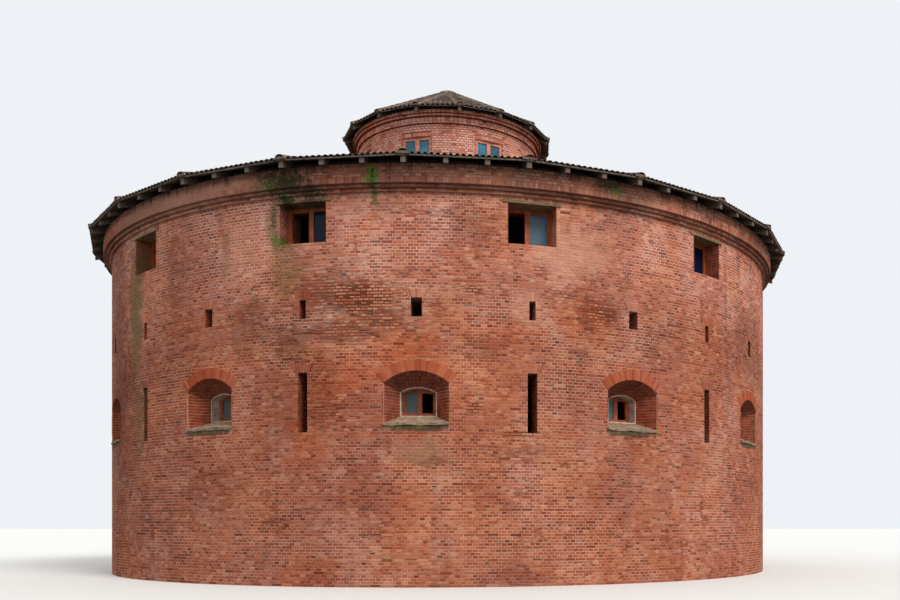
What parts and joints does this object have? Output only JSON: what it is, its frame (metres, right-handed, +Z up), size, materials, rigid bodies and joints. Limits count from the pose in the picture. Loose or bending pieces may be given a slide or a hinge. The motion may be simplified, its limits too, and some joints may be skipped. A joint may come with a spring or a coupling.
{
  "type": "round tower",
  "caption": "Round brick tower with arched and square windows, slits, a corbelled cornice, a low many-sided tile roof and a windowed turret, for a town or landscape scene",
  "frame": {"origin": "on the tower's axis at ground level", "axes": "+Z up along the tower's axis, -Y towards the front, where an arched window is centred"},
  "size_m": [23.4744, 23.4744, 16.9345],
  "materials": {
    "brick": "weathered red brick in lime mortar",
    "floor_screed": "worn lime screed",
    "sill_stone": "weathered mortar capping",
    "lime_plaster": "limewashed plaster",
    "weathered_timber": "grey weathered softwood",
    "painted_joinery": "faded red-brown paint",
    "window_glass": "old window glass",
    "clay_tile": "weathered fired clay"
  },
  "bodies": {
    "root": {"base_wall": "brick", "lower_wall_01": "brick", "lower_wall_02": "brick", "lower_wall_03": "brick", "lower_wall_04": "brick", "lower_wall_05": "brick", "lower_wall_06": "brick", "lower_wall_07": "brick", "lower_wall_08": "brick", "lower_wall_09": "brick", "lower_wall_10": "brick", "lower_wall_11": "brick", "lower_wall_12": "brick", "upper_wall_1": "brick", "upper_wall_2": "brick", "upper_wall_3": "brick", "upper_wall_4": "brick", "upper_wall_5": "brick", "upper_wall_6": "brick", "main_cornice": "brick", "core_base": "brick", "core_lower": "brick", "core_upper": "brick", "turret_wall": "brick", "turret_cornice": "brick", "lower_floor": "floor_screed", "upper_floor": "floor_screed", "turret_floor": "weathered_timber", "embrasure_sills": "sill_stone", "embrasure_linings": "lime_plaster", "upper_window_lintels": "weathered_timber", "embrasure_window_frames": "painted_joinery", "upper_window_frames": "painted_joinery", "turret_window_frames": "painted_joinery", "embrasure_window_panes": "window_glass", "upper_window_panes": "window_glass", "turret_window_panes": "window_glass", "wall_plates": "weathered_timber", "main_rafters": "weathered_timber", "turret_rafters": "weathered_timber", "turret_hub": "weathered_timber", "eaves_boards": "weathered_timber", "main_roof_boards": "weathered_timber", "turret_roof_boards": "weathered_timber", "main_roof_tiles": "clay_tile", "turret_roof_tiles": "clay_tile", "turret_roof_cap": "clay_tile"}
  },
  "joints": []
}
